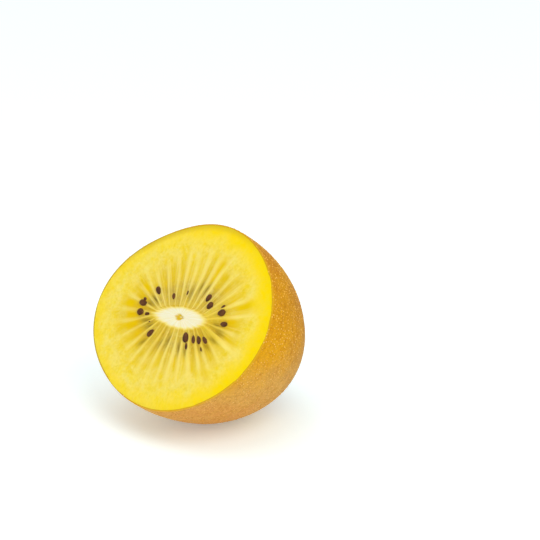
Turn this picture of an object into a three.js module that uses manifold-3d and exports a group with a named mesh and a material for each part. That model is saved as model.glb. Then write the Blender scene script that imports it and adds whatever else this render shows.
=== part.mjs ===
// Half of a golden kiwi fruit, cut across its length and lying on its side, in millimetres with +Z up.
// Skin, flesh and core grew as one piece, so it is one closed solid. The seeds stand out of the cut
// and the rays are raised on it. It rests on a small flat spot, and the middle of that spot is the origin.
import * as THREE from "three";
import { mergeVertices } from "three/addons/utils/BufferGeometryUtils.js";
import Module from "manifold-3d";

const wasm = await Module();
wasm.setup();

const rad = THREE.MathUtils.degToRad;

// The fruit's own frame: the cut lies in the plane z = 0 and faces +Z, and the fruit hangs below it.
// Angles on the cut are counted from +X.

// The cut's outline is a circle with a few broad lobes: oval, a little three-sided and a little square.
const cutRadius = 26;
const lobes = [
  { count: 2, share: 0.051, towards: 14.8 },
  { count: 3, share: 0.017, towards: 68 },
  { count: 4, share: 0.013, towards: 0 },
];

// The side swells to a waist just behind the cut, then rounds off to the stem end.
const cutToWaist = 2.6;
const cutToEnd = 37.2;
const bluntness = 2.08;

// The stem end has a shallow dimple, and in it the stalk's scar: a raised ring round a small pit.
const dimple = { depth: 1.3, reach: 5.5 };
const scar = { radius: 2.9, width: 1.0, height: 0.9 };

// The white core is a long oval, and the seeds and rays follow its shape outwards.
const core = { halfLength: 8.6, halfWidth: 3.0, turn: 6.7, x: -0.4, y: -0.2 };
const coreSwell = { height: 0.18, from: 0.6 };

// Each ray is the wall between two seed chambers. The rays stand at these angles round the core,
// further apart at its two ends, and shares are of the way along a ray from the core to the skin.
const ray = { height: 0.3, start: 0.06, full: 0.3, end: 0.78 };
const rayAngles = [
  10, 24, 37, 50.5, 62, 71, 81, 91, 100, 110, 122.5, 134, 144.5, 155, 168, 181,
  194, 207, 221, 233, 244, 255, 265, 274, 284, 294.5, 306, 313.5, 325, 338, 351,
];
const skinEdgeShare = 0.982;

// A seed is a flat oval that points away from the core. Each row of seeds is at one share of the way
// out, and has a seed at each of these angles round the core, where the cut happened to meet them.
const seed = { halfLength: 1.15, halfWidth: 0.74, halfThickness: 0.62, sunk: 0.22 };
const seedRows = [
  { share: 0.11, at: [45, 115, 186, 207, 289] },
  { share: 0.16, at: [57, 92, 160, 261, 303, 312] },
  { share: 0.205, at: [20, 228, 291, 321] },
  { share: 0.26, at: [0, 29, 68, 139, 168, 183, 348] },
  { share: 0.3, at: [312] },
];

// It lies on its side as a half fruit does, with the cut looking up by this much from level.
const cutLooksUp = 35.4;
const flatSpotDepth = 0.35;

// The mesh: a ray has a column of points on its crest and two in the chamber beside it. The rows round
// the core, the flesh and the side are wide apart, and those round the scar follow its ring.
const columns = rayAngles.length * 3;
const coreRows = 3;
const fleshShares = [0.05, 0.12, 0.2, 0.3, 0.42, 0.55, 0.67, 0.78, 0.9, skinEdgeShare];
const sideRows = 19;
const scarRows = [5.4, 4.6, 4.0, 3.4, 2.9, 2.4, 1.8, 1.1, 0];

const smooth = (from, to, x) => THREE.MathUtils.smoothstep(x, from, to);

function outlineRadius(angle) {
  const lobe = ({ count, share, towards }) => share * Math.cos(count * (angle - rad(towards)));
  return cutRadius * lobes.reduce((sum, l) => sum + lobe(l), 1);
}

// The side's profile is a blunt half-oval about the waist: the other half-axis, for a share of one.
const otherShare = (share) => (1 - Math.min(Math.abs(share), 1) ** bluntness) ** (1 / bluntness);
const waistToEnd = cutToEnd - cutToWaist;
const cutShare = otherShare(cutToWaist / waistToEnd);

// How wide the fruit is at a depth below the cut, as a share of the cut's own width, and the reverse.
const widthAt = (depth) => otherShare((depth - cutToWaist) / waistToEnd) / cutShare;
const depthAt = (width) => cutToWaist + waistToEnd * otherShare(width * cutShare);

// The depths of the side's rows: even steps round the profile, then the scar's own rows.
function sideDepths() {
  const scarDepths = scarRows.map((radius) => depthAt(radius / cutRadius));
  const lastTurn = Math.asin(scarDepths[0] / cutToEnd);
  const even = Array.from({ length: sideRows }, (_, i) => ((i + 1) / (sideRows + 1)) * lastTurn);
  return [...even.map((turn) => cutToEnd * Math.sin(turn)), ...scarDepths];
}

// A point on the core's edge, for a ray at this angle round the core.
function coreEdge(angle) {
  const x = core.halfLength * Math.cos(angle);
  const y = core.halfWidth * Math.sin(angle);
  return new THREE.Vector2(x, y)
    .rotateAround(new THREE.Vector2(), rad(core.turn))
    .add(new THREE.Vector2(core.x, core.y));
}

// The point where the same ray meets the skin.
function cutEdge(angle) {
  const turned = angle + rad(core.turn);
  const r = outlineRadius(turned);
  return new THREE.Vector2(r * Math.cos(turned), r * Math.sin(turned));
}

function alongRay(angle, share) {
  return coreEdge(angle).lerp(cutEdge(angle), share);
}

// The angle at a count of rays: a whole number is on a ray, and a half is in the middle of a chamber.
function angleAtCount(count) {
  const before = rayAngles[Math.floor(count)];
  const after = rayAngles[Math.floor(count) + 1] ?? rayAngles[0] + 360;
  return rad(THREE.MathUtils.lerp(before, after, count % 1));
}

// Rays start at the core, are highest a third of the way out and die away in the paler outer flesh.
function rayHeight(count, share) {
  const crest = Math.cos(2 * Math.PI * count);
  const strength = smooth(0, ray.start, share) * (1 - smooth(ray.full, ray.end, share));
  return 0.5 * ray.height * crest * strength;
}

// The grid comes from a lathe of unit radius, whose height counts the rows: 0 to 1 are the cut, from
// its middle to its edge, and 1 to 2 are the side.
function plainGrid(depths) {
  const cutRows = [
    ...Array.from({ length: coreRows + 1 }, (_, i) => i / (2 * coreRows)),
    ...fleshShares.map((share) => (1 + share) / 2),
    1,
  ];
  const side = depths.map((_, i) => 1 + (i + 1) / depths.length);
  const profile = [...cutRows, ...side].map((v) => new THREE.Vector2(Math.min(v, 2 - v), -v));
  const lathe = new THREE.LatheGeometry(profile.reverse(), columns);
  lathe.deleteAttribute("normal");
  lathe.deleteAttribute("uv");
  return mergeVertices(lathe);
}

function cutPoint(count, row) {
  const angle = angleAtCount(count);
  const share = 2 * row - 1;
  if (share < 0) {
    const centre = new THREE.Vector2(core.x, core.y);
    const at = centre.lerp(coreEdge(angle), row * 2);
    return new THREE.Vector3(at.x, at.y, coreSwell.height * (1 - smooth(coreSwell.from, 1, row * 2)));
  }
  const at = alongRay(angle, share);
  return new THREE.Vector3(at.x, at.y, rayHeight(count, share));
}

function sidePoint(count, depth) {
  const turned = angleAtCount(count) + rad(core.turn);
  const r = outlineRadius(turned) * widthAt(depth);
  const hollow = dimple.depth * Math.exp(-((r / dimple.reach) ** 2));
  const ring = scar.height * Math.exp(-(((r - scar.radius) / scar.width) ** 2));
  return new THREE.Vector3(r * Math.cos(turned), r * Math.sin(turned), hollow - ring - depth);
}

function fruitGeometry() {
  const depths = sideDepths();
  const grid = plainGrid(depths);
  const place = grid.getAttribute("position");
  for (let i = 0; i < place.count; i++) {
    const turn = Math.atan2(place.getX(i), place.getZ(i)) / (2 * Math.PI);
    const count = THREE.MathUtils.euclideanModulo(turn, 1) * rayAngles.length;
    const row = -place.getY(i);
    const step = Math.round((row - 1) * depths.length);
    const p = row <= 1 ? cutPoint(count, row) : sidePoint(count, depths[step - 1]);
    place.setXYZ(i, p.x, p.y, p.z);
  }
  return grid;
}

function seedGeometry(angle, share) {
  const at = alongRay(angle, share);
  const outwards = cutEdge(angle).sub(coreEdge(angle)).angle();
  const ball = new THREE.SphereGeometry(1, 8, 6);
  ball.rotateX(Math.PI / 2);
  ball.scale(seed.halfLength, seed.halfWidth, seed.halfThickness);
  ball.rotateZ(outwards);
  ball.translate(at.x, at.y, -seed.sunk);
  return ball;
}

function solidOf(geometry) {
  const bare = geometry.clone();
  bare.deleteAttribute("normal");
  bare.deleteAttribute("uv");
  const merged = mergeVertices(bare);
  return new wasm.Manifold(
    new wasm.Mesh({
      numProp: 3,
      vertProperties: merged.attributes.position.array,
      triVerts: new Uint32Array(merged.index.array),
    }),
  );
}

// How the fruit lies: the cut turned from facing up to looking out towards -Y and a little up.
const lie = new THREE.Matrix4().makeRotationX(rad(90 - cutLooksUp));

function lowestHeight(geometry) {
  const laid = geometry.clone().applyMatrix4(lie);
  laid.computeBoundingBox();
  return laid.boundingBox.min.z;
}

// The flat spot: what lies below the resting plane is taken off with a block, set in the fruit's frame.
function flatSpotBlock(height) {
  const size = 4 * cutRadius;
  const block = new THREE.BoxGeometry(size, size, size);
  block.translate(0, 0, height - size / 2);
  return block.applyMatrix4(lie.clone().invert());
}

// The middle of the flat spot, in the laid fruit's frame, from the points that lie in its plane.
function flatSpotMiddle(geometry, height) {
  const onPlane = new THREE.Box3();
  const place = geometry.getAttribute("position");
  const p = new THREE.Vector3();
  for (let i = 0; i < place.count; i++) {
    p.fromBufferAttribute(place, i).applyMatrix4(lie);
    if (p.z < height + flatSpotDepth / 100) onPlane.expandByPoint(p);
  }
  return onPlane.getCenter(new THREE.Vector3()).setZ(height);
}

const finishes = {
  skin: new THREE.MeshStandardMaterial({ color: 0xc08a38, roughness: 0.6, metalness: 0 }),
  flesh: new THREE.MeshStandardMaterial({ color: 0xf2d23c, roughness: 0.42, metalness: 0 }),
  core: new THREE.MeshStandardMaterial({ color: 0xf5efd2, roughness: 0.5, metalness: 0 }),
  seed: new THREE.MeshStandardMaterial({ color: 0x4a2a18, roughness: 0.35, metalness: 0 }),
};

// A triangle's finish, from its middle: skin off the cut, then the core's oval, then flesh.
function finishAt(p) {
  const angle = Math.atan2(p.y, p.x);
  const fromAxis = Math.hypot(p.x, p.y) / outlineRadius(angle);
  if (p.z < -ray.height || fromAxis > skinEdgeShare) return "skin";
  const inCore = new THREE.Vector2(p.x - core.x, p.y - core.y);
  inCore.rotateAround(new THREE.Vector2(), -rad(core.turn));
  inCore.divide(new THREE.Vector2(core.halfLength, core.halfWidth));
  return inCore.length() < 1 ? "core" : "flesh";
}

// The joined solid as a geometry whose groups wear the finishes, in the order of the finishes above.
function dressedGeometry(solid, seedIds) {
  const mesh = solid.getMesh();
  const corner = (i) => new THREE.Vector3().fromArray(mesh.vertProperties, i * mesh.numProp);
  const worn = Object.fromEntries(Object.keys(finishes).map((name) => [name, []]));
  mesh.runOriginalID.forEach((id, run) => {
    for (let i = mesh.runIndex[run]; i < mesh.runIndex[run + 1]; i += 3) {
      const ends = Array.from(mesh.triVerts.subarray(i, i + 3), corner);
      const middle = new THREE.Triangle(...ends).getMidpoint(new THREE.Vector3());
      worn[seedIds.has(id) ? "seed" : finishAt(middle)].push(...ends);
    }
  });
  const geometry = new THREE.BufferGeometry().setFromPoints(Object.values(worn).flat());
  let start = 0;
  Object.values(worn).forEach((points, index) => {
    geometry.addGroup(start, points.length, index);
    start += points.length;
  });
  geometry.computeVertexNormals();
  return geometry;
}

const fruit = fruitGeometry();
const seeds = seedRows.flatMap(({ share, at }) =>
  at.map((degrees) => solidOf(seedGeometry(rad(degrees), share)).asOriginal()),
);
const restingHeight = lowestHeight(fruit) + flatSpotDepth;
const solid = seeds
  .reduce((joined, one) => joined.add(one), solidOf(fruit))
  .subtract(solidOf(flatSpotBlock(restingHeight)));
const geometry = dressedGeometry(solid, new Set(seeds.map((one) => one.originalID())));

const half = new THREE.Mesh(geometry, Object.values(finishes));
half.name = "kiwi_half";
half.rotation.setFromRotationMatrix(lie);
half.position.copy(flatSpotMiddle(geometry, restingHeight)).negate();

const object = new THREE.Group();
object.name = "golden_kiwi_half";
object.add(half);

export default object;
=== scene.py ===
# Half of a golden kiwi fruit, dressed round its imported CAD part, in metres, lying as the CAD part lies.
import math

import bpy
import numpy as np
from mathutils import Matrix, Vector, noise


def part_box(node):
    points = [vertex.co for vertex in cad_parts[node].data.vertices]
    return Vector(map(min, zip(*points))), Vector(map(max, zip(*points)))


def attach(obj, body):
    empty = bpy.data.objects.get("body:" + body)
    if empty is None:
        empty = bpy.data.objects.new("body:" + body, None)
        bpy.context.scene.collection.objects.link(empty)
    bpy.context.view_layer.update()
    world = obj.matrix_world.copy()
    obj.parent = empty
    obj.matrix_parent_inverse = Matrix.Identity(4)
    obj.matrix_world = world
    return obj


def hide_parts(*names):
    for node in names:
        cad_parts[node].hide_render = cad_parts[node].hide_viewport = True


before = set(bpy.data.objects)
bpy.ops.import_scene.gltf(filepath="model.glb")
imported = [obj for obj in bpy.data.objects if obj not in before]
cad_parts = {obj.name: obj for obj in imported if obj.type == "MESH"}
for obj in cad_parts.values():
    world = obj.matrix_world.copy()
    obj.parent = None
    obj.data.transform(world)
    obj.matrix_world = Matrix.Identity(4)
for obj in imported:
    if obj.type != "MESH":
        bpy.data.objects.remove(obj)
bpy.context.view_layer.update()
mm = 0.001

# The lie of the fruit, and the camera. The cut's outline is a circle with a few broad lobes, and the
# CAD box gives where its middle is. Positions on the fruit are counted from there: to the right and
# up in the plane of the cut, and out of the cut, so the fruit's body is at negative heights.
cut_radius = 26 * mm
lobes = ((2, 0.051, 14.8), (3, 0.017, 68), (4, 0.013, 0))
cut_looks_up = math.radians(35.4)


def outline_radius(angle):
    """The cut's radius at an angle. Each lobe is a count, a share of the radius and a direction."""
    return cut_radius * (1 + sum(share * np.cos(count * (angle - math.radians(towards)))
                                 for count, share, towards in lobes))


low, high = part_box("kiwi_half")
all_round = np.radians(np.arange(360))
edge_right = outline_radius(all_round) * np.cos(all_round)
edge_up = outline_radius(all_round) * np.sin(all_round)
cut_right = np.array([1, 0, 0])
cut_up = np.array([0, math.sin(cut_looks_up), math.cos(cut_looks_up)])
cut_out = np.array([0, -math.cos(cut_looks_up), math.sin(cut_looks_up)])
cut_middle = np.array([
    (low[0] + high[0] - edge_right.min() - edge_right.max()) / 2,
    low[1] - edge_up.min() * math.sin(cut_looks_up),
    high[2] - edge_up.max() * math.cos(cut_looks_up),
])


def laid(points):
    """Points counted from the middle of the cut, in the CAD part's own frame."""
    return cut_middle + points @ np.stack([cut_right, cut_up, cut_out])


camera_azimuth = math.radians(42.8)
camera_elevation = math.radians(21.0)
camera_distance = 26 * cut_radius
frame_pixels = 540
pixels_per_radius = 103.2
cut_middle_pixel = (182.2, 316.5)
sensor_width = 36
to_camera = np.array([
    math.sin(camera_azimuth) * math.cos(camera_elevation),
    -math.cos(camera_azimuth) * math.cos(camera_elevation),
    math.sin(camera_elevation),
])
frame_right = np.array([math.cos(camera_azimuth), math.sin(camera_azimuth), 0])
frame_up = np.cross(to_camera, frame_right)
pixel_size = cut_radius / pixels_per_radius
aim = cut_middle + pixel_size * (frame_right * (frame_pixels / 2 - cut_middle_pixel[0])
                                 + frame_up * (cut_middle_pixel[1] - frame_pixels / 2))
camera = bpy.data.objects.new("camera", bpy.data.cameras.new("camera"))
camera.location = cut_middle + to_camera * camera_distance
back = (camera.location - Vector(aim)).normalized()
up = back.cross(Vector(frame_right)).normalized()
camera.rotation_euler = Matrix([up.cross(back), up, back]).transposed().to_euler()
camera.data.sensor_width = sensor_width
camera.data.lens = sensor_width * camera_distance / pixel_size / frame_pixels
camera.data.clip_start = camera_distance / 10
camera.data.clip_end = camera_distance * 20
bpy.context.collection.objects.link(camera)
bpy.context.scene.camera = camera

# The skin: a thin golden-brown rind with a fine leathery grain, which covers the whole of the outside
# and ends at the knife's cut. It swells to a waist just behind the cut and closes at the stem end in
# a shallow dimple, and it is flat where the fruit's weight has pressed it.
cut_to_waist = 2.6 * mm
cut_to_end = 37.2 * mm
bluntness = 2.08
dimple_depth = 1.3 * mm
dimple_reach = 5.5 * mm
pit_depth = 1.7 * mm
pit_reach = 2.3 * mm
skin_thickness = 0.32 * mm
skin_columns = 430
skin_rows = 165
swell = 0.10 * mm
swell_size = 11 * mm
grain = 0.022 * mm
coarse_grain_size = 1.3 * mm
fine_grain_size = 0.6 * mm
calm_at_cut = 6 * mm
knife_reach = 0.8 * mm
stem_end_starts, stem_end_full = 31 * mm, 36.5 * mm
top_starts, top_full = 16 * mm, 40 * mm


def other_share(share):
    """The other half-axis of the blunt oval profile, for a share of one half-axis."""
    return (1 - np.minimum(np.abs(share), 1) ** bluntness) ** (1 / bluntness)


def side_rings(angles, depths):
    """Rings of points round the fruit's side, one for each depth below the cut."""
    waist_to_end = cut_to_end - cut_to_waist
    cut_share = other_share(cut_to_waist / waist_to_end)
    width = other_share((depths - cut_to_waist) / waist_to_end) / cut_share
    radius = width[:, None] * outline_radius(angles)
    hollow = dimple_depth * np.exp(-((radius / dimple_reach) ** 2))
    hollow = hollow + pit_depth * np.exp(-((radius / pit_reach) ** 4))
    return np.stack([radius * np.cos(angles), radius * np.sin(angles), hollow - depths[:, None]], -1)


def outward(rings):
    """Unit normals of rings that are counted from the cut down and run round it anticlockwise."""
    around = np.roll(rings, -1, axis=1) - np.roll(rings, 1, axis=1)
    normal = np.cross(np.gradient(rings, axis=0), around)
    return normal / np.linalg.norm(normal, axis=-1, keepdims=True)


def ruffle(points, size, seed):
    """Smooth noise between -1 and 1 at each point, with bumps of about the size given."""
    flat = points.reshape(-1, 3) / size + seed
    return np.array([noise.noise(Vector(p)) for p in flat]).reshape(points.shape[:-1])


def smooth(start, end, x):
    """From 0 at the start to 1 at the end, with soft ends."""
    t = np.clip((x - start) / (end - start), 0, 1)
    return t * t * (3 - 2 * t)


def closed_grid(name, start, rings, end):
    """A closed mesh from one pole over rings of points to the other pole, its faces outwards."""
    rows, columns = rings.shape[:2]
    points = np.concatenate([[start], rings.reshape(-1, 3), [end]])
    here = 1 + np.arange(rows * columns).reshape(rows, columns)
    after = np.roll(here, -1, axis=1)
    quads = np.stack([here[:-1], after[:-1], after[1:], here[1:]], -1).reshape(-1, 4)
    first = np.stack([np.zeros(columns, int), after[0], here[0]], -1)
    last = np.stack([here[-1], after[-1], np.full(columns, len(points) - 1)], -1)
    mesh = bpy.data.meshes.new(name)
    mesh.from_pydata(points.tolist(), [], first.tolist() + quads.tolist() + last.tolist())
    mesh.shade_smooth()
    mesh.set_sharp_from_angle(angle=math.radians(50))
    piece = bpy.data.objects.new(name, mesh)
    bpy.context.collection.objects.link(piece)
    return piece


def give_attribute(piece, name, values):
    """Stores one number for each point of the piece, for its material and for what grows on it."""
    store = piece.data.attributes.new(name, "FLOAT", "POINT")
    store.data.foreach_set("value", np.ravel(values).astype(np.float32))


def give_direction(piece, name, vectors):
    """Stores three numbers for each point of the piece."""
    store = piece.data.attributes.new(name, "FLOAT_VECTOR", "POINT")
    store.data.foreach_set("vector", np.ravel(vectors).astype(np.float32))


skin_angles = np.arange(skin_columns) * 2 * math.pi / skin_columns
turns = np.arange(skin_rows) / skin_rows * math.pi / 2
skin_depths = cut_to_end * np.sin(turns)
outside = side_rings(skin_angles, skin_depths)
skin_normals = outward(outside)
relief = swell * ruffle(outside, swell_size, seed=3.1)
relief = relief + grain * ruffle(outside, coarse_grain_size, seed=7.7)
relief += grain * ruffle(outside, fine_grain_size, seed=1.9)
relief *= smooth(0, calm_at_cut, skin_depths)[:, None]
outside = outside + skin_normals * relief[..., None]
inside = outside - skin_normals * skin_thickness
inside[0, :, 2] = 0
skin_end = np.array([0, 0, dimple_depth + pit_depth - cut_to_end])
outside, inside = laid(outside), laid(inside)
outside[..., 2] = np.maximum(outside[..., 2], 0)
inside[..., 2] = np.maximum(inside[..., 2], skin_thickness)

# Nothing shows the inside of the rind but its edge at the cut, so further in it has few rows.
inner_rows = np.r_[0:8, 8:skin_rows:12]
skin = closed_grid("skin", laid(skin_end), np.concatenate([outside[::-1], inside[inner_rows]]),
                   laid(skin_end + [0, 0, skin_thickness]))

# What the skin stores: where its outside is clear of the floor, how near the cut and the stem end a
# point is, how large the pores are there, and a place that makes a pattern run round the fruit.
height = outside[::-1][..., 2]
inside_points = inside[inner_rows][..., 0].size
clear_of_floor = smooth(0.4 * mm, 1.2 * mm, height)
give_attribute(skin, "outside", np.r_[1, clear_of_floor.ravel(), np.zeros(inside_points), 0])
near_cut = np.repeat(1 - smooth(0, knife_reach, skin_depths), skin_columns)
near_cut_inside = np.repeat(1 - smooth(0, knife_reach, skin_depths[inner_rows]), skin_columns)
give_attribute(skin, "near_cut", np.r_[0, near_cut[::-1], near_cut_inside, 0])
near_stem = np.repeat(smooth(stem_end_starts, stem_end_full, skin_depths), skin_columns)
give_attribute(skin, "near_stem", np.r_[1, near_stem[::-1], np.ones(inside_points), 1])
pore_size = 0.9 + 0.4 * smooth(top_starts, top_full, height)
give_attribute(skin, "pore_size", np.r_[1, pore_size.ravel(), np.ones(inside_points), 1])
depths_in_order = np.r_[skin_depths[::-1], skin_depths[inner_rows]]
ring_angle, ring_depth = np.meshgrid(skin_angles, depths_in_order)
band_width = 1.6 * mm
round_it = np.stack([3 * np.cos(ring_angle), 3 * np.sin(ring_angle), ring_depth / band_width], -1)
round_it = np.concatenate([[[0, 0, 0]], round_it.reshape(-1, 3), [[0, 0, 0]]])
give_direction(skin, "round", round_it)


def new_material(name):
    """A material with its node tree and its main shader."""
    material = bpy.data.materials.new(name)
    material.use_nodes = True
    return material, material.node_tree, material.node_tree.nodes["Principled BSDF"]


def node(tree, kind, values=None, **inputs):
    """A new node. Values are its settings. An input is a number, a colour or another node's output."""
    made = tree.nodes.new(kind)
    for key, value in (values or {}).items():
        setattr(made, key, value)
    for key, value in inputs.items():
        socket = made.inputs[int(key[1:])] if key[1:].isdigit() else made.inputs[key.replace("_", " ")]
        if isinstance(value, bpy.types.NodeSocket):
            tree.links.new(value, socket)
        else:
            socket.default_value = value
    return made


def colour(hex_code):
    """A colour written as on a paint chart, as the linear values that a shader takes."""
    parts = [int(hex_code[i:i + 2], 16) / 255 for i in (0, 2, 4)]
    return [p / 12.92 if p < 0.04045 else ((p + 0.055) / 1.055) ** 2.4 for p in parts] + [1]


def mixed(tree, share, first, second, blend="MIX"):
    """One colour turned into another by a share, which is a number or a node's output."""
    made = node(tree, "ShaderNodeMix", {"data_type": "RGBA", "blend_type": blend})
    for socket, value in zip((made.inputs[0], made.inputs[6], made.inputs[7]), (share, first, second)):
        if isinstance(value, bpy.types.NodeSocket):
            tree.links.new(value, socket)
        else:
            socket.default_value = value
    return made.outputs[2]


def between(tree, value, low_end, high_end, low_out=0.0, high_out=1.0):
    """A value's range turned into another, held at both ends."""
    made = node(tree, "ShaderNodeMapRange", {"interpolation_type": "SMOOTHSTEP"}, _0=value, _1=low_end,
                _2=high_end, _3=low_out, _4=high_out)
    return made.outputs[0]


def noisy(tree, place, scale, detail=2.0):
    """Soft noise over the places given. The scale is about how many bumps there are to the metre."""
    return node(tree, "ShaderNodeTexNoise", Vector=place, Scale=scale, Detail=detail).outputs["Fac"]


def stored(tree, name, output="Fac"):
    """What the mesh stores under a name."""
    return node(tree, "ShaderNodeAttribute", {"attribute_name": name}).outputs[output]


def times(tree, first, second):
    """One number times another."""
    return node(tree, "ShaderNodeMath", {"operation": "MULTIPLY"}, _0=first, _1=second).outputs[0]


def coated(tree, base, coats):
    """A base colour under coats of others. A coat is its name, what it follows, the two ends of the
    range over which it changes, its share at each end, and its colour."""
    for name, follows, low_end, high_end, low_share, high_share, tint in coats:
        share = between(tree, follows, low_end, high_end, low_share, high_share)
        base = mixed(tree, share, base, colour(tint))
        base.node.label = name
    return base


def embossed(tree, shader, *grains):
    """Bumps in the finish, one over the other: each is a pattern of heights, a strength and a depth."""
    under = {}
    for heights, strength, depth in grains:
        bump = node(tree, "ShaderNodeBump", Height=heights, Strength=strength, Distance=depth, **under)
        under = {"Normal": bump.outputs[0]}
    tree.links.new(bump.outputs[0], shader.inputs["Normal"])


# What the skin's colour is multiplied by, all of it painted light and shade: painted gold light high on
# its side, painted shade on the crown, and painted shade on the far side, which lies in the direction
# given.
painted_gold_light = (1.05, 0.91, 0.06, 1)
painted_crown_shade = (0.88, 0.91, 1, 1)
painted_far_shade = (0.72, 0.64, 0.52, 1)
painted_shade_direction = (0.62, 0.785, 0)


def skin_material():
    """Golden-brown rind: broad patches of hue, a fine mottle, pale flecks and a leathery bump, under
    painted light and shade.
    """
    material, tree, shader = new_material("skin")
    place = node(tree, "ShaderNodeTexCoord").outputs["Object"]
    patches = noisy(tree, place, 130.0, 3.0)
    broad = noisy(tree, place, 55.0)
    bands = noisy(tree, stored(tree, "round", "Vector"), 1.0, 4.0)
    mottle = noisy(tree, place, 900.0, 4.0)
    fine = noisy(tree, place, 2300.0, 3.0)
    flecks = node(tree, "ShaderNodeTexVoronoi", Vector=place, Scale=1250.0).outputs["Distance"]
    split = node(tree, "ShaderNodeSeparateXYZ", Vector=place)
    # An uneven height, up which the painted gold light below comes on.
    gold_light_height = node(tree, "ShaderNodeMath", {"operation": "MULTIPLY_ADD"}, _0=patches, _1=16 * mm,
                 _2=split.outputs["Z"])
    base = mixed(tree, between(tree, patches, 0.35, 0.65), colour("cb9342"), colour("d8a24c"))
    base = coated(tree, base, (
        ("copper patches", broad, 0.45, 0.65, 0.0, 0.6, "d98c46"),
        ("brown bands", bands, 0.46, 0.66, 0.0, 0.35, "c48a30"),
        ("pale bands", bands, 0.3, 0.46, 0.35, 0.0, "e0a254"),
        ("dark mottle", mottle, 0.46, 0.7, 0.0, 0.42, "b26c1c"),
        ("pale grain", fine, 0.48, 0.66, 0.0, 0.5, "edb35a"),
        ("pale flecks", flecks, 0.12, 0.34, 0.65, 0.0, "f2bc5e"),
    ))
    # Painted gold light high on the side, with an uneven lower edge, weaker towards the left.
    gold_light_share = times(tree, between(tree, gold_light_height.outputs[0], 21 * mm, 38 * mm),
                  between(tree, split.outputs["X"], -10 * mm, 14 * mm, 0.4, 1.0))
    base = mixed(tree, gold_light_share, base, painted_gold_light, "MULTIPLY")
    # Painted shade on the crown.
    crown = between(tree, split.outputs["Z"], 36 * mm, 48 * mm)
    base = mixed(tree, crown, base, painted_crown_shade, "MULTIPLY")
    # Painted shade on the far side, with an uneven edge.
    far_side = node(tree, "ShaderNodeVectorMath", {"operation": "DOT_PRODUCT"}, _0=place,
                    _1=painted_shade_direction)
    unevenly = node(tree, "ShaderNodeMath", {"operation": "MULTIPLY_ADD"}, _0=broad, _1=8 * mm,
                    _2=far_side.outputs["Value"])
    far = between(tree, unevenly.outputs[0], 14 * mm, 31 * mm)
    base = mixed(tree, far, base, painted_far_shade, "MULTIPLY")
    base = coated(tree, base, (("stem end", stored(tree, "near_stem"), 0.0, 1.0, 0.0, 0.6, "9a6426"),))
    through = mixed(tree, between(tree, split.outputs["X"], -25 * mm, -5 * mm), colour("c8ac34"),
                    colour("e0a81c"))
    base = mixed(tree, between(tree, stored(tree, "near_cut"), 0.0, 1.0, 0.0, 0.75), base, through)
    tree.links.new(base, shader.inputs["Base Color"])
    tree.links.new(between(tree, mottle, 0.3, 0.7, 0.55, 0.72), shader.inputs["Roughness"])
    embossed(tree, shader, (mottle, 0.35, 0.06 * mm), (fine, 0.3, 0.03 * mm))
    shader.inputs["Subsurface Weight"].default_value = 0.12
    shader.inputs["Subsurface Radius"].default_value = (1.0, 0.5, 0.15)
    shader.inputs["Subsurface Scale"].default_value = 1.2 * mm
    shader.inputs["Specular IOR Level"].default_value = 0.06
    return material


skin.data.materials.append(skin_material())
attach(skin, "root")
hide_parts("kiwi_half")

# The stem scar: where the stalk broke off, a rough corky ring round a dark torn pit, at the bottom of
# the dimple in the stem end. It is dead woody tissue that grew as part of the skin.
scar_radius = 2.9 * mm
scar_ring_width = 1.0 * mm
scar_ring_height = 0.9 * mm
scar_pit_depth = 0.9 * mm
scar_pit_radius = 1.7 * mm
scar_reach = 4.3 * mm
scar_thickness = 0.5 * mm
scar_edge_sunk = 0.12 * mm
deep_in_pit = -0.5 * mm
scar_columns = 150
scar_rows = 44


def scar_height(radius, angle):
    """How far the scar stands out of the skin: a ring, torn into uneven teeth, round a pit."""
    tooth = 0.22 * np.sin(7 * angle + 0.6) + 0.16 * np.sin(12 * angle + 2.1) + 0.14 * np.sin(19 * angle)
    ring = scar_ring_height * np.exp(-(((radius - scar_radius) / scar_ring_width * 1.3) ** 2))
    pit = scar_pit_depth * np.exp(-((radius / scar_pit_radius) ** 2))
    return ring * (1 + tooth) - pit


scar_angles = np.arange(scar_columns) * 2 * math.pi / scar_columns
radii = np.linspace(scar_reach / scar_rows, scar_reach, scar_rows)
ripple = 1 + 0.05 * np.sin(3 * scar_angles + 1) + 0.04 * np.sin(5 * scar_angles)
scar_r = radii[:, None] * ripple
cut_share_at_end = scar_r / cut_radius * other_share(cut_to_waist / (cut_to_end - cut_to_waist))
skin_depth_there = cut_to_waist + (cut_to_end - cut_to_waist) * other_share(cut_share_at_end)
skin_height_there = dimple_depth * np.exp(-((scar_r / dimple_reach) ** 2)) - skin_depth_there
scar_top = np.stack([scar_r * np.cos(scar_angles), scar_r * np.sin(scar_angles),
                     skin_height_there - scar_height(scar_r, scar_angles)], -1)
rough = 0.12 * mm * ruffle(scar_top, 0.8 * mm, seed=4.4)
rough = rough + 0.07 * mm * ruffle(scar_top, 0.35 * mm, seed=9.1)
edge_fade = 1 - smooth(0.75, 1, radii / scar_reach)[:, None]
scar_top[..., 2] -= rough * edge_fade
scar_top[..., 2] += scar_edge_sunk * (1 - edge_fade)
scar_back = scar_top + [0, 0, scar_thickness]
scar_centre = np.array([0, 0, scar_top[0, :, 2].mean()])
stem_scar = closed_grid("stem_scar", laid(scar_centre),
                        laid(np.concatenate([scar_top, scar_back[::-4]])),
                        laid(np.array([0, 0, scar_back[0, :, 2].mean()])))
ring_there = scar_height(scar_r, scar_angles)
height_there = np.concatenate([ring_there, ring_there[::-4]])
give_attribute(stem_scar, "height", np.r_[deep_in_pit, height_there.ravel(), deep_in_pit])


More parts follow.
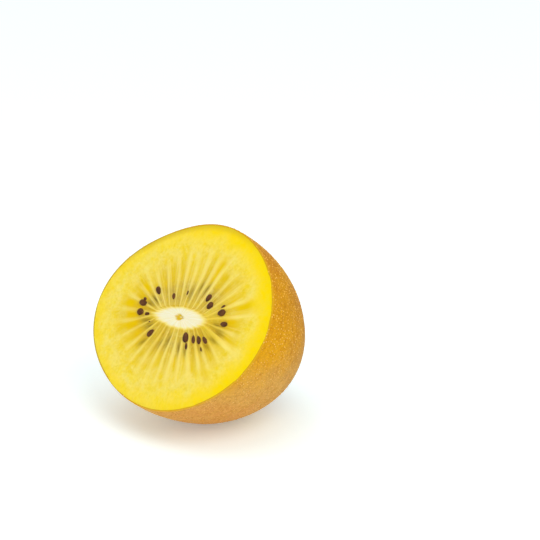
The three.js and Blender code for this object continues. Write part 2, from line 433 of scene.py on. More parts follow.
def scar_material():
    """Corky brown, pale on the ring's crest and dark in the pit."""
    material, tree, shader = new_material("stem_scar")
    place = node(tree, "ShaderNodeTexCoord").outputs["Object"]
    height = stored(tree, "height")
    fibres = noisy(tree, place, 1800.0, 5.0)
    base = mixed(tree, between(tree, height, 0.1 * mm, 0.55 * mm), colour("bd8030"), colour("9a6a38"))
    base = coated(tree, base, (
        ("crest", height, 0.6 * mm, 1.0 * mm, 0.0, 1.0, "b88f60"),
        ("pit", height, deep_in_pit, 0.1 * mm, 1.0, 0.0, "402510"),
        ("fibres", fibres, 0.45, 0.7, 0.0, 0.65, "6d4520"),
    ))
    tree.links.new(base, shader.inputs["Base Color"])
    shader.inputs["Roughness"].default_value = 0.8
    embossed(tree, shader, (fibres, 0.6, 0.1 * mm))
    return material


stem_scar.data.materials.append(scar_material())
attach(stem_scar, "root")
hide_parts("kiwi_half")

# The pores: pale corky specks that the skin breathes through, each a low dome about a third of a
# millimetre across. They are scattered over the whole skin about a millimetre apart.
pore_gap = 0.62 * mm
pore_density = 1150000.0
pore_radius = 0.15 * mm
pore_flatness = 0.42


def new_tree(name, inputs):
    """A geometry tree with named inputs, and its two ends."""
    tree = bpy.data.node_groups.new(name, "GeometryNodeTree")
    tree.interface.new_socket("Geometry", in_out="INPUT", socket_type="NodeSocketGeometry")
    for key, kind in inputs.items():
        tree.interface.new_socket(key, in_out="INPUT", socket_type="NodeSocket" + kind)
    tree.interface.new_socket("Geometry", in_out="OUTPUT", socket_type="NodeSocketGeometry")
    return tree, tree.nodes.new("NodeGroupInput").outputs, tree.nodes.new("NodeGroupOutput").inputs


def grown(host, tree, values):
    """What the tree makes on its host, as a plain piece of its own."""
    modifier = host.modifiers.new(tree.name, "NODES")
    modifier.node_group = tree
    for item in tree.interface.items_tree:
        if item.in_out == "INPUT" and item.name in values:
            modifier[item.identifier] = values[item.name]
    evaluated = host.evaluated_get(bpy.context.evaluated_depsgraph_get())
    piece = bpy.data.objects.new(tree.name, bpy.data.meshes.new_from_object(evaluated))
    bpy.context.collection.objects.link(piece)
    host.modifiers.remove(modifier)
    return piece


def pore_material():
    """Pale tan cork, a little uneven from speck to speck, and golder towards the top with painted gold
    light.
    """
    material, tree, shader = new_material("pores")
    place = node(tree, "ShaderNodeTexCoord").outputs["Object"]
    tone = noisy(tree, place, 700.0)
    base = mixed(tree, between(tree, tone, 0.35, 0.65), colour("e9ab47"), colour("f7cb76"))
    height = node(tree, "ShaderNodeSeparateXYZ", Vector=place).outputs["Z"]
    # Painted gold light on the pores towards the top of the fruit, as on the skin.
    base = coated(tree, base, (
        ("top of the fruit", height, top_starts, top_full, 0.0, 1.0, "fac64e"),
    ))
    tree.links.new(base, shader.inputs["Base Color"])
    shader.inputs["Roughness"].default_value = 0.6
    return material


def scattered(tree, given):
    """Points on the skin's outside, at least a gap apart, each with the turn of the skin there. The
    density is for a square metre."""
    outer = node(tree, "GeometryNodeInputNamedAttribute", Name="outside").outputs["Attribute"]
    return node(tree, "GeometryNodeDistributePointsOnFaces", {"distribute_method": "POISSON"},
                Mesh=given["Geometry"], Distance_Min=given["Gap"], Density_Max=given["Density"],
                Density_Factor=outer, Seed=given["Seed"]).outputs


def made_real(tree, instances, material, result, smooth_faces=True):
    """Ends a tree: its instances become one plain mesh that wears the material."""
    shape = node(tree, "GeometryNodeRealizeInstances", Geometry=instances).outputs[0]
    if smooth_faces:
        shape = node(tree, "GeometryNodeSetShadeSmooth", Geometry=shape).outputs[0]
    dressed = node(tree, "GeometryNodeSetMaterial", Geometry=shape, Material=material)
    tree.links.new(dressed.outputs[0], result["Geometry"])
    return tree


def pore_tree(material):
    """Low domes on scattered points of the skin: flattened beads of 20 faces, sunk to half."""
    tree, given, result = new_tree("pores", {"Gap": "Float", "Density": "Float", "Radius": "Float",
                                             "Seed": "Int"})
    points = scattered(tree, given)
    dome = node(tree, "GeometryNodeMeshIcoSphere", Radius=given["Radius"], Subdivisions=1)
    low_dome = node(tree, "GeometryNodeTransform", Geometry=dome.outputs["Mesh"],
                    Scale=(1, 1, pore_flatness))
    size = node(tree, "FunctionNodeRandomValue", {"data_type": "FLOAT"}, _2=0.5, _3=1.35)
    grade = node(tree, "GeometryNodeInputNamedAttribute", Name="pore_size").outputs["Attribute"]
    placed = node(tree, "GeometryNodeInstanceOnPoints", Points=points["Points"],
                  Instance=low_dome.outputs[0], Rotation=points["Rotation"],
                  Scale=times(tree, size.outputs[1], grade))
    return made_real(tree, placed.outputs[0], material, result)


pores = grown(skin, pore_tree(pore_material()),
              {"Gap": pore_gap, "Density": pore_density, "Radius": pore_radius, "Seed": 11})
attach(pores, "root")
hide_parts("kiwi_half")

# The down: very short fine hairs, sparse on this kind of fruit, that stand out of the skin and lean
# all ways. Each is a three-sided spike, at most about half a millimetre long.
hair_gap = 0.42 * mm
hair_density = 1500000.0
hair_length = 0.5 * mm
hair_thickness = 0.012 * mm
hair_lean = 0.7


def down_material():
    """Straw-coloured hair, darker in some patches."""
    material, tree, shader = new_material("down")
    place = node(tree, "ShaderNodeTexCoord").outputs["Object"]
    tone = noisy(tree, place, 500.0)
    base = mixed(tree, between(tree, tone, 0.35, 0.65), colour("bd8236"), colour("dfb873"))
    tree.links.new(base, shader.inputs["Base Color"])
    shader.inputs["Roughness"].default_value = 0.5
    return material


def down_tree(material):
    """Thin spikes on scattered points of the skin's outside, turned at random from upright."""
    tree, given, result = new_tree("down", {"Gap": "Float", "Density": "Float", "Length": "Float",
                                            "Thickness": "Float", "Lean": "Float", "Seed": "Int"})
    points = scattered(tree, given)
    spike = node(tree, "GeometryNodeMeshCone", Vertices=3, Radius_Bottom=given["Thickness"],
                 Radius_Top=0.0, Depth=given["Length"])
    size = node(tree, "FunctionNodeRandomValue", {"data_type": "FLOAT"}, _2=0.4, _3=1.1)
    back = times(tree, given["Lean"], -1.0)
    lowest = node(tree, "ShaderNodeCombineXYZ", X=back, Y=back)
    highest = node(tree, "ShaderNodeCombineXYZ", X=given["Lean"], Y=given["Lean"])
    lean = node(tree, "FunctionNodeRandomValue", {"data_type": "FLOAT_VECTOR"}, _0=lowest.outputs[0],
                _1=highest.outputs[0])
    placed = node(tree, "GeometryNodeInstanceOnPoints", Points=points["Points"],
                  Instance=spike.outputs["Mesh"], Rotation=points["Rotation"], Scale=size.outputs[1])
    turned = node(tree, "GeometryNodeRotateInstances", Instances=placed.outputs[0],
                  Rotation=lean.outputs[0])
    return made_real(tree, turned.outputs[0], material, result, smooth_faces=False)


down = grown(skin, down_tree(down_material()),
             {"Gap": hair_gap, "Density": hair_density, "Length": hair_length,
              "Thickness": hair_thickness, "Lean": hair_lean, "Seed": 5})
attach(down, "root")
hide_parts("kiwi_half")

# The flesh: juicy yellow tissue that fills the skin, with the white core in the middle of the cut. Pale
# rays run out from the core between the seed chambers, whose gel is sunk a little and more golden. The
# outer flesh is pale and even, and turns a strong yellow just under the skin.
core_half_length = 8.6 * mm
core_half_width = 3.0 * mm
core_turn = math.radians(6.7)
core_middle = np.array([-0.4, -0.2]) * mm
ray_angles = np.radians([
    10, 24, 37, 50.5, 62, 71, 81, 91, 100, 110, 122.5, 134, 144.5, 155, 168, 181,
    194, 207, 221, 233, 244, 255, 265, 274, 284, 294.5, 306, 313.5, 325, 338, 351,
])
flesh_columns = 744
flesh_rows = 96
core_rows = 16
ray_height = 0.09 * mm
chamber_depth = 0.12 * mm
rng = np.random.default_rng(20)


def core_edge(angle):
    """Points of the core's oval, for angles counted round it."""
    x = core_half_length * np.cos(angle)
    y = core_half_width * np.sin(angle)
    return core_middle + np.stack([x * math.cos(core_turn) - y * math.sin(core_turn),
                                   x * math.sin(core_turn) + y * math.cos(core_turn)], -1)


def cut_edge(angle):
    """Where the rays that leave the core at these angles reach the skin."""
    turned = angle + core_turn
    radius = outline_radius(turned)
    return radius[..., None] * np.stack([np.cos(turned), np.sin(turned)], -1)


def along_ray(angle, share):
    """Points at a share of the way from the core's edge to the skin."""
    share = np.asarray(share)[..., None]
    return core_edge(angle) * (1 - share) + cut_edge(angle) * share


def waves(angle, share, count, seed):
    """Smooth uneven waves between about -1 and 1 over the cut, which close on themselves all round."""
    draw = np.random.default_rng(seed)
    total = 0
    for _ in range(count):
        around = draw.integers(2, 26)
        total = total + np.cos(around * angle + draw.uniform(-14, 14) * share + draw.uniform(0, 6.28))
    return total / math.sqrt(count)


flesh_angles = np.arange(flesh_columns) * 2 * math.pi / flesh_columns
shares = np.linspace(0, 1, flesh_rows)
angle, share = np.meshgrid(flesh_angles, shares)
on_cut = along_ray(angle, share)
two_columns_apart = np.roll(on_cut, -1, axis=1) - np.roll(on_cut, 1, axis=1)
two_column_angle = 4 * math.pi / flesh_columns
millimetres_per_radian = np.linalg.norm(two_columns_apart, axis=-1) / two_column_angle / mm


def lines(directions, reach, narrow, broad, faint, strong):
    """Lines out from the core, thin at first and then broad, each a little different. They end at about
    the share that they reach, and their widths, at the core and at the skin, are in millimetres."""
    total = np.zeros_like(angle)
    for direction in directions:
        wander = rng.uniform(-0.05, 0.05) * (share - 0.3)
        wander = wander + 0.010 * np.sin(rng.uniform(6, 13) * share + rng.uniform(0, 6.28))
        off = (angle - direction - wander + math.pi) % (2 * math.pi) - math.pi
        width = narrow + (broad - narrow) * share
        end = reach + rng.uniform(-0.1, 0.1)
        fade = 1 - smooth(end - 0.34, end, share)
        line = np.exp(-((off * millimetres_per_radian / width) ** 2)) * fade
        total = np.maximum(total, rng.uniform(faint, strong) * line)
    return total


def turned_to(degrees, start, end):
    """From 0 to 1 as the direction on the cut comes round to the one given, by the cosine between."""
    return smooth(start, end, np.cos(angle - math.radians(degrees)))


crisp_ray = lines(ray_angles, 0.78, 0.13, 1.05, 0.42, 0.98) * (0.7 + 0.3 * smooth(0, 0.3, share))
crisp_ray *= 1 - 0.4 * smooth(0.35, 0.7, share)
soft_ray = lines(ray_angles, 0.9, 0.2, 2.2, 0.3, 0.65)
fine_ray = lines(rng.uniform(0, 2 * math.pi, 110), 0.8, 0.08, 0.36, 0.1, 0.62)
ray = 1 - (1 - crisp_ray) * (1 - 0.7 * soft_ray) * (1 - 0.65 * fine_ray)
ray *= 1 - 0.3 * turned_to(185, 0.2, 0.9) * smooth(0.1, 0.3, share)
dark_thread = lines(rng.uniform(0, 2 * math.pi, 90), 0.44, 0.08, 0.45, 0.1, 0.7)
dark_thread = dark_thread * smooth(0.02, 0.12, share)

# Where the chambers are gold: the angle of the ray before the chamber, how strong the gold is, and the
# shares between which it lies. In a chamber that isn't listed it is faint.
gold_chambers = {
    10: (1.0, 0.42, 0.75), 24: (0.6, 0.35, 0.6), 37: (0.55, 0.35, 0.6), 62: (1.0, 0.38, 0.66),
    71: (0.6, 0.38, 0.6), 122.5: (0.7, 0.26, 0.48), 134: (0.9, 0.26, 0.5), 144.5: (1.0, 0.24, 0.5),
    155: (1.0, 0.22, 0.5), 168: (1.0, 0.24, 0.58), 181: (1.0, 0.24, 0.54), 194: (1.0, 0.22, 0.6),
    207: (0.8, 0.26, 0.56), 221: (0.7, 0.26, 0.5), 255: (0.6, 0.35, 0.6),
    306: (0.7, 0.45, 0.75), 313.5: (0.6, 0.35, 0.6), 338: (0.65, 0.35, 0.6), 351: (1.0, 0.3, 0.52),
}
gold = np.zeros_like(angle)
tone = np.zeros_like(angle)
ripeness = share + 0.02 * waves(angle, share, 12, 2)
for before, after in zip(ray_angles, np.roll(ray_angles, -1)):
    gap = (after - before) % (2 * math.pi)
    off = (angle - before - gap / 2 + math.pi) % (2 * math.pi) - math.pi
    listed = gold_chambers.get(round(math.degrees(before), 1), (0.5, rng.uniform(0.3, 0.4), 0.56))
    start, end = listed[1:]
    drop = smooth(start - 0.14, start + 0.1, share) * (1 - smooth(end - 0.16, end + 0.12, share))
    across = np.exp(-((off / (0.43 * gap)) ** 4))
    gold = np.maximum(gold, listed[0] * across * drop)
    in_chamber = np.exp(-((off / (0.5 * gap)) ** 6))
    tone += rng.uniform(-1, 1) * in_chamber * (1 - smooth(0.4, 0.7, share))
    ahead = rng.uniform(-0.07, 0.07) * in_chamber * smooth(0.2, 0.45, share)
    ripeness += ahead * (1 - smooth(0.7, 0.9, share))

# The seeds that the cut met: the angle round the core, the share of the way out, the length and the
# width in millimetres, and how much of the seed's height shows.
cut_seeds = (
    (139, 0.263, 2.4, 1.45, 0.9), (115, 0.117, 1.9, 1.0, 0.6), (57, 0.180, 2.2, 1.4, 0.8),
    (45, 0.122, 2.2, 1.6, 0.9), (20, 0.217, 2.4, 1.8, 1.0), (0, 0.267, 2.2, 1.35, 0.9),
    (168, 0.262, 2.6, 1.6, 1.0), (183, 0.239, 2.1, 1.8, 1.0), (186, 0.122, 1.7, 1.0, 0.5),
    (228, 0.193, 2.4, 1.55, 0.9), (289, 0.102, 2.8, 1.75, 1.0), (291, 0.211, 2.0, 0.9, 0.5),
    (303, 0.139, 2.3, 1.2, 0.8), (312, 0.165, 2.6, 1.3, 0.9), (321, 0.202, 2.4, 1.2, 0.8),
    (92, 0.152, 1.8, 0.8, 0.4), (29, 0.263, 1.6, 0.7, 0.4), (312, 0.298, 1.8, 0.7, 0.4),
    (207, 0.102, 1.4, 0.6, 0.3), (162, 0.281, 1.2, 0.8, 0.5),
)

# The seeds below the cut, each with its angle and its share. Only an olive shadow shows where they are,
# this long and this wide in millimetres. The seeds on the cut have a fainter one.
deep_seeds = ((66, 0.27), (75, 0.26), (85, 0.16), (148, 0.15), (157, 0.14), (163, 0.17), (193, 0.17),
              (201, 0.15), (209, 0.13), (216, 0.14), (229, 0.34), (254, 0.20), (261, 0.17), (281, 0.24),
              (290, 0.28), (312, 0.32), (320, 0.30), (332, 0.28), (343, 0.28), (349, 0.27), (355, 0.18))
shadow_length = 1.7
shadow_width = 0.65


def off_seed(at, out):
    """How far the places on the cut are from a seed, in millimetres: along it and across it."""
    seed_place = along_ray(np.radians(float(at)), out)
    outwards = seed_place / np.linalg.norm(seed_place)
    offset = (on_cut - seed_place) / mm
    return offset @ outwards, offset @ np.array([-outwards[1], outwards[0]])


olive = np.zeros_like(angle)
halo = np.zeros_like(angle)
for at, out, *_ in cut_seeds + deep_seeds:
    length_away, width_away = off_seed(at, out)
    shadow = np.exp(-(length_away / shadow_length) ** 2 - (width_away / shadow_width) ** 2)
    olive = np.maximum(olive, (1.0 if (at, out) in deep_seeds else 0.3) * shadow)
for at, out, length, width, _ in cut_seeds:
    length_away, width_away = off_seed(at, out)
    length_away, width_away = length_away / (length / 2), width_away / (width / 2)
    beyond = np.maximum(np.hypot(length_away, width_away) - 0.95, 0)
    halo = np.maximum(halo, np.exp(-((beyond / 0.45) ** 2)))

# The veins that run up the outer flesh show as a ring of small yellow dots. The yellow under the skin
# is a broad band on the right and a narrow one on the left, and the edge at the top is a little shaded.
# The flesh beside the core's two ends is amber.
vein_gap = 8.2
vein_count = 44
band_side = math.radians(15)
veins = np.zeros_like(angle)
for at in np.arange(0, 360, vein_gap) + rng.uniform(-4, 4, vein_count):
    place = along_ray(np.radians(at), rng.uniform(0.6, 0.88))
    away = np.linalg.norm(on_cut - place, axis=-1) / mm
    veins = np.maximum(veins, rng.uniform(0.2, 0.8) * np.exp(-((away / rng.uniform(0.4, 0.75)) ** 2)))
band_start = 0.76 - 0.1 * np.cos(angle - band_side)
rim = smooth(band_start - 0.04, 0.97, share + 0.03 * waves(angle, share, 22, 5))
rim *= 0.5 + 0.5 * smooth(-0.3, 0.6, np.cos(angle - band_side))
shaded_edge = smooth(0.88, 1, share) * turned_to(103, 0.4, 0.95)
amber = np.maximum(turned_to(345, 0.3, 0.95), 0.8 * turned_to(208, 0.4, 0.95))
amber *= 1 - smooth(0.25, 0.5, share)
clouds = 0.5 + 0.35 * waves(angle, 3 * share, 16, 12) * smooth(0.35, 0.6, share) * (1 - rim)

# The core: a white lens with frayed ends and edges, and a small crumpled yellow pith in its middle.
core_direction = np.array([math.cos(core_turn), math.sin(core_turn)])
core_across = np.array([-core_direction[1], core_direction[0]])
white_middle = np.array([-0.15, -0.45]) * mm
white_half_length = 8.6 * mm
white_half_width = 2.75 * mm
pith_middle = np.array([-0.8, -0.4]) * mm
pith_reach = (1.35 * mm, 0.85 * mm)


def core_white(places, fray):
    """How white the cut is at each place: 1 well inside the lens, 0 outside it."""
    along = (places - white_middle) @ core_direction
    across = (places - white_middle) @ core_across
    lens = np.abs(along / white_half_length) ** 1.6 + np.abs(across / white_half_width) ** 1.6
    cream_end = 0.2 * smooth(3 * mm, 9 * mm, along)
    return 1 - smooth(0.5, 1.4, lens + cream_end + fray)


inner_shares = np.linspace(0, 1, core_rows + 1)[1:-1]
inner_angle, inner_share = np.meshgrid(flesh_angles, inner_shares)
in_core = core_middle + (core_edge(inner_angle) - core_middle) * inner_share[..., None]
fray = 0.06 * waves(angle, share, 9, 3) - 0.06 * ray
white = core_white(on_cut, fray)
inner_white = core_white(in_core, fray[0] * inner_share)
in_pith = (in_core - pith_middle) / pith_reach
pith = 1 - smooth(0.7, 1.1, np.linalg.norm(in_pith, axis=-1) + 0.12 * np.cos(5 * inner_angle))

# How the cut's surface rises and sinks: rays up and chambers down, gel sunk round each seed, the edge
# a little rounded, and the core raised with its pith sunk in the middle.
flesh_wave = 0.03 * mm
gel_sinks = 0.10 * mm
edge_sinks = 0.12 * mm
core_height = 0.04 * mm
core_crown = 0.05 * mm
pith_depth = 0.3 * mm
beyond_core = smooth(0, 0.08, share)
in_inner_flesh = 1 - smooth(0.45, 0.7, share)
relief = (ray_height * ray - chamber_depth * (1 - ray) * in_inner_flesh) * beyond_core
relief += flesh_wave * waves(angle, share, 12, 8) * (1 - white)
relief -= gel_sinks * halo
relief -= edge_sinks * smooth(0.985, 1, share)
relief += core_height * white
inner_relief = core_height + core_crown * (1 - inner_share ** 2) - pith_depth * pith

# Behind the cut the flesh reaches into the skin, and at the cut's edge it ends just inside the skin's
# outside, so no gap shows between them.
flesh_reach = 0.7 * skin_thickness
rim_width = 0.05 * mm
wall_depths = cut_to_end * np.sin(np.linspace(0.02, 1, 9)[:-1] * math.pi / 2)
wall_angles = flesh_angles + core_turn
wall = side_rings(wall_angles, wall_depths)
reach = flesh_reach + (rim_width - flesh_reach) * (1 - smooth(0, 4 * mm, wall_depths))
wall = wall - outward(wall) * reach[:, None, None]
cut_rings = np.concatenate([on_cut, relief[..., None]], -1)
edge_inset = 1 - rim_width / outline_radius(wall_angles)
cut_rings[-1, :, :2] *= edge_inset[:, None]
core_rings = np.concatenate([in_core, inner_relief[..., None]], -1)
centre_height = inner_relief[0].mean()
flesh_points = laid(np.concatenate([wall[::-1], cut_rings[::-1], core_rings[::-1]]))
flesh_points[..., 2] = np.maximum(flesh_points[..., 2], flesh_reach)
flesh_end = np.array([0, 0, dimple_depth + pit_depth + 2 * flesh_reach - cut_to_end])
flesh = closed_grid("flesh", laid(flesh_end), flesh_points,
                    laid(np.array([*core_middle, centre_height])))


def over_flesh(name, on_the_cut, in_the_core, centre, behind=0.0):
    """Stores an attribute of the flesh from its value on the wall, the cut, the core and its middle."""
    behind_cut = np.full(wall[..., 0].size + 1, behind)
    in_order = np.r_[behind_cut, on_the_cut[::-1].ravel(), in_the_core[::-1].ravel(), centre]
    give_attribute(flesh, name, in_order)


none = np.zeros_like(inner_share)
over_flesh("ray", ray, ray[0] * smooth(0.4, 0.9, inner_share), 0)
over_flesh("dark_thread", dark_thread * (1 - white), none, 0)
over_flesh("gold", np.clip(gold * (1.0 + 0.3 * waves(angle, 2 * share, 24, 6)), 0, 1), none, 0)
over_flesh("veins", veins, none, 0)
over_flesh("tone", tone, none, 0)
over_flesh("rim", rim, none, 0, behind=1.0)
over_flesh("shaded_edge", shaded_edge, none, 0)
over_flesh("amber", amber, none, 0)
over_flesh("clouds", clouds, none, 0)
over_flesh("olive", olive * (0.6 + 0.8 * dark_thread) * (1 - white), none, 0)
over_flesh("halo", halo, none, 0)
over_flesh("white", white, inner_white, 1)
over_flesh("pith", np.zeros_like(share), pith, 0)
over_flesh("ripeness", ripeness, none, 0, behind=1.0)


def streak_places(around, outward_step):
    """Places for a pattern of threads, which changes fast round the cut and slowly out along it."""
    places = np.stack([14 * np.cos(around), 14 * np.sin(around), outward_step], -1)
    return places[::-1].reshape(-1, 3)


give_direction(flesh, "streak", np.concatenate([
    np.zeros((wall[..., 0].size + 1, 3)),
    streak_places(angle, 1.5 * share + 3 * smooth(0.5, 1, share)),
    streak_places(inner_angle, 0 * inner_share),
    [[0, 0, 0]],
]))


cell_shade = (0.95, 0.95, 0.9, 1)
amber_stain = (0.96, 0.88, 0.4, 1)


def flesh_material():
    """Wet yellow tissue: its colour along a ray, then gold, olive, pale ray and white core over it."""
    material, tree, shader = new_material("flesh")
    place = node(tree, "ShaderNodeTexCoord").outputs["Object"]
    threads = noisy(tree, stored(tree, "streak", "Vector"), 2.2, 4.0)
    cells = noisy(tree, place, 1500.0, 4.0)
    grains = noisy(tree, place, 800.0, 3.0)
    clouds = noisy(tree, place, 260.0, 3.0)
    ramp = node(tree, "ShaderNodeValToRGB", Fac=stored(tree, "ripeness"))
    stops = ((0.0, "cfa410"), (0.1, "ad8109"), (0.2, "af8405"), (0.3, "c09504"), (0.44, "dbb805"),
             (0.58, "efce20"), (0.74, "f6db4c"), (0.88, "f8dc3e"), (1.0, "f5d92c"))
    while len(ramp.color_ramp.elements) < len(stops):
        ramp.color_ramp.elements.new(0.5)
    for element, (position, code) in zip(ramp.color_ramp.elements, stops):
        element.position = position
        element.color = colour(code)
    base = coated(tree, ramp.outputs[0], (
        ("pale clouds", stored(tree, "clouds"), 0.1, 0.9, 0.0, 0.55, "f8e37e"),
        ("yellow clouds", clouds, 0.4, 0.75, 0.0, 0.4, "f6d62c"),
        ("pale chambers", stored(tree, "tone"), 0.0, 1.0, 0.0, 0.5, "efd85e"),
        ("dark chambers", stored(tree, "tone"), -1.0, 0.0, 0.4, 0.0, "cba72c"),
        ("pale threads", threads, 0.4, 0.7, 0.0, 0.35, "f7e378"),
        ("yellow threads", threads, 0.28, 0.45, 0.3, 0.0, "e8c714"),
        ("yellow grains", grains, 0.52, 0.72, 0.0, 0.35, "ecca08"),
        ("pale grains", grains, 0.3, 0.46, 0.25, 0.0, "fbea8c"),
    ))
    base = mixed(tree, between(tree, cells, 0.4, 0.62, 1.0, 0.0), base, cell_shade, "MULTIPLY")
    base = mixed(tree, stored(tree, "gold"), base, colour("e9c400"))
    base = mixed(tree, stored(tree, "veins"), base, colour("f0d000"))
    speckle = between(tree, grains, 0.35, 0.6, 1.15, 0.9)
    speckled = node(tree, "ShaderNodeMath", {"operation": "MULTIPLY", "use_clamp": True},
                    _0=stored(tree, "rim"), _1=speckle)
    base = mixed(tree, speckled.outputs[0], base, colour("fcd800"))
    base = coated(tree, base, (
        ("shaded edge", stored(tree, "shaded_edge"), 0.0, 1.0, 0.0, 0.75, "d6b828"),
        ("dark threads", stored(tree, "dark_thread"), 0.05, 1.0, 0.0, 0.48, "9c7e14"),
    ))
    base = mixed(tree, stored(tree, "olive"), base, colour("86702c"))
    base = coated(tree, base, (
        ("rays", stored(tree, "ray"), 0.08, 0.9, 0.0, 0.8, "f8e37c"),
        ("gel round the seeds", stored(tree, "halo"), 0.1, 0.9, 0.0, 0.4, "d9b65e"),
    ))
    base = mixed(tree, stored(tree, "amber"), base, amber_stain, "MULTIPLY")
    cream = mixed(tree, between(tree, threads, 0.35, 0.65), colour("f2e4b0"), colour("f8f2dc"))
    white = stored(tree, "white")
    base = coated(tree, base, (("edge of the core", white, 0.0, 0.5, 0.0, 1.0, "f4dd74"),))
    base = mixed(tree, between(tree, white, 0.3, 1.0), base, cream)
    base = mixed(tree, stored(tree, "pith"), base, colour("dfb92c"))
    tree.links.new(base, shader.inputs["Base Color"])
    tree.links.new(between(tree, cells, 0.3, 0.7, 0.3, 0.5), shader.inputs["Roughness"])
    embossed(tree, shader, (cells, 0.35, 0.05 * mm), (threads, 0.3, 0.08 * mm))
    shader.inputs["Subsurface Weight"].default_value = 0.45
    shader.inputs["Subsurface Radius"].default_value = (1.0, 0.75, 0.2)
    shader.inputs["Subsurface Scale"].default_value = 0.6 * mm
    shader.inputs["Specular IOR Level"].default_value = 0.05
    return material


flesh.data.materials.append(flesh_material())
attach(flesh, "root")
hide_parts("kiwi_half")

# The seeds: hard flat drops, dark brown and wet, with the point towards the core. They sit in their
# chambers' gel, and the knife leaves each one standing a little out of the cut. One of the usual width
# has the thickness given, in millimetres, and the others are thick in proportion.
seed_thickness = 1.15
usual_width = 1.5
seed_taper = 0.4
seed_rings = 14
lean_from_ray = 0.13
seed_bed = 0.12 * mm


def seed_material():
    """Dark brown seed coat with a fine net, in two close browns."""
    material, tree, shader = new_material("seeds")
    place = node(tree, "ShaderNodeTexCoord").outputs["Object"]
    tone = noisy(tree, place, 900.0, 3.0)
    net = node(tree, "ShaderNodeTexVoronoi", {"feature": "DISTANCE_TO_EDGE"}, Vector=place,
               Scale=7000.0).outputs["Distance"]
    base = mixed(tree, between(tree, tone, 0.3, 0.7), colour("4c280c"), colour("6a3e18"))
    tree.links.new(base, shader.inputs["Base Color"])
    embossed(tree, shader, (net, 0.35, 0.03 * mm))
    shader.inputs["Roughness"].default_value = 0.45
    shader.inputs["Specular IOR Level"].default_value = 0.22
    return material


def seed_tree(material):
    """A drop-shaped seed on each point, turned and sized by what the point stores."""
    tree, given, result = new_tree("seeds", {"Taper": "Float", "Rings": "Int"})
    ball = node(tree, "GeometryNodeMeshUVSphere", Segments=22, Rings=given["Rings"], Radius=0.5)
    lying = node(tree, "GeometryNodeTransform", Geometry=ball.outputs["Mesh"],
                 Rotation=(0, math.pi / 2, 0))
    position = node(tree, "GeometryNodeInputPosition").outputs[0]
    where = node(tree, "ShaderNodeSeparateXYZ", Vector=position)
    narrowing = node(tree, "ShaderNodeMath", {"operation": "MULTIPLY_ADD"}, _0=where.outputs["X"],
                     _1=given["Taper"], _2=1.0)
    drop_place = node(tree, "ShaderNodeCombineXYZ", X=where.outputs["X"],
                      Y=times(tree, where.outputs["Y"], narrowing.outputs[0]),
                      Z=times(tree, where.outputs["Z"], narrowing.outputs[0]))
    drop = node(tree, "GeometryNodeSetPosition", Geometry=lying.outputs[0],
                Position=drop_place.outputs[0])
    turn = node(tree, "GeometryNodeInputNamedAttribute", {"data_type": "FLOAT_VECTOR"}, Name="turn")
    size = node(tree, "GeometryNodeInputNamedAttribute", {"data_type": "FLOAT_VECTOR"}, Name="size")
    placed = node(tree, "GeometryNodeInstanceOnPoints", Points=given["Geometry"],
                  Instance=drop.outputs[0], Rotation=turn.outputs["Attribute"],
                  Scale=size.outputs["Attribute"])
    return made_real(tree, placed.outputs[0], material, result)


seed_spots, seed_turns, seed_sizes = [], [], []
facing = np.stack([cut_right, cut_up, cut_out])
for at, out, length, width, shown in cut_seeds:
    at = np.array(math.radians(at))
    direction = cut_edge(at) - core_edge(at)
    heading = math.atan2(direction[1], direction[0]) + rng.uniform(-lean_from_ray, lean_from_ray)
    thickness = seed_thickness * width / usual_width
    sunk = (0.5 - 0.42 * shown) * thickness * mm + seed_bed
    seed_spots.append(laid(np.append(along_ray(at, out), -sunk)))
    turned = Vector((math.cos(heading), math.sin(heading), 0))
    long_axis = Vector(np.array(turned) @ facing)
    out_axis = Vector(cut_out)
    side_axis = out_axis.cross(long_axis)
    basis = np.array([long_axis, side_axis, out_axis]).T
    seed_turns.append(tuple(Matrix(basis.tolist()).to_euler()))
    seed_sizes.append((length * mm, width * mm, thickness * mm))
spots = bpy.data.objects.new("seed_spots", bpy.data.meshes.new("seed_spots"))
spots.data.from_pydata([tuple(p) for p in seed_spots], [], [])
give_direction(spots, "turn", seed_turns)
give_direction(spots, "size", seed_sizes)
bpy.context.collection.objects.link(spots)
seeds = grown(spots, seed_tree(seed_material()), {"Taper": seed_taper, "Rings": seed_rings})
bpy.data.objects.remove(spots)
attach(seeds, "root")
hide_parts("kiwi_half")

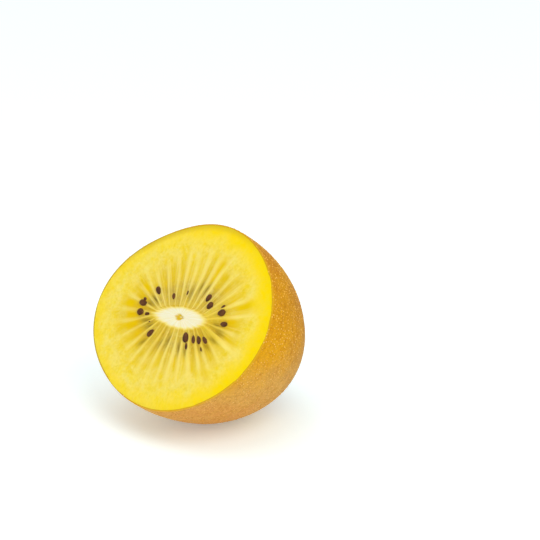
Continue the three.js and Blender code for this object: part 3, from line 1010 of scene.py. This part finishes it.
# The floor and the light: a plain white floor in even light, with two large soft lamps, the key high
# at the right of the camera and the other overhead. The floor is a little blue and glows faintly,
# which keeps the fruit's shadow light and takes out much of the orange that it throws there.
floor_half = 3.0
floor_white = (0.9, 0.99, 1.0, 1)
floor_glow = (0.2, 0.23, 0.237, 1)
room_white = (0.99, 1, 0.995, 1)
room_strength = 0.68
key_tint = (1, 0.985, 0.96)
top_tint = (1, 1, 1)


def floor_material():
    """Matte white that glows faintly, like a light table."""
    material, _, shader = new_material("floor")
    shader.inputs["Base Color"].default_value = floor_white
    shader.inputs["Emission Color"].default_value = floor_glow
    shader.inputs["Emission Strength"].default_value = 1.0
    shader.inputs["Roughness"].default_value = 0.9
    shader.inputs["Specular IOR Level"].default_value = 0.2
    return material


floor_mesh = bpy.data.meshes.new("floor")
floor_mesh.from_pydata([(-floor_half, -floor_half, 0), (floor_half, -floor_half, 0),
                        (floor_half, floor_half, 0), (-floor_half, floor_half, 0)], [], [(0, 1, 2, 3)])
floor = bpy.data.objects.new("floor", floor_mesh)
floor.data.materials.append(floor_material())
bpy.context.collection.objects.link(floor)


def soft_lamp(name, azimuth, elevation, distance, size, power, tint):
    """A square lamp that looks at the fruit, from an azimuth counted as the camera's is. Its distance
    and size are in metres, and its power is in watts."""
    azimuth, elevation = math.radians(azimuth), math.radians(elevation)
    lamp = bpy.data.objects.new(name, bpy.data.lights.new(name, "AREA"))
    towards = Vector((math.sin(azimuth) * math.cos(elevation), -math.cos(azimuth) * math.cos(elevation),
                      math.sin(elevation)))
    lamp.location = towards * distance
    lamp.rotation_euler = towards.to_track_quat("Z", "Y").to_euler()
    lamp.data.size = size
    lamp.data.energy = power
    lamp.data.color = tint
    bpy.context.collection.objects.link(lamp)


soft_lamp("key", 66, 48, 0.9, 0.5, 2.2, key_tint)
soft_lamp("top", -10, 78, 1.0, 0.7, 1.65, top_tint)
world = bpy.data.worlds.new("room")
world.use_nodes = True
world.node_tree.nodes["Background"].inputs["Color"].default_value = room_white
world.node_tree.nodes["Background"].inputs["Strength"].default_value = room_strength
bpy.context.scene.world = world
bpy.context.scene.view_settings.view_transform = "Standard"
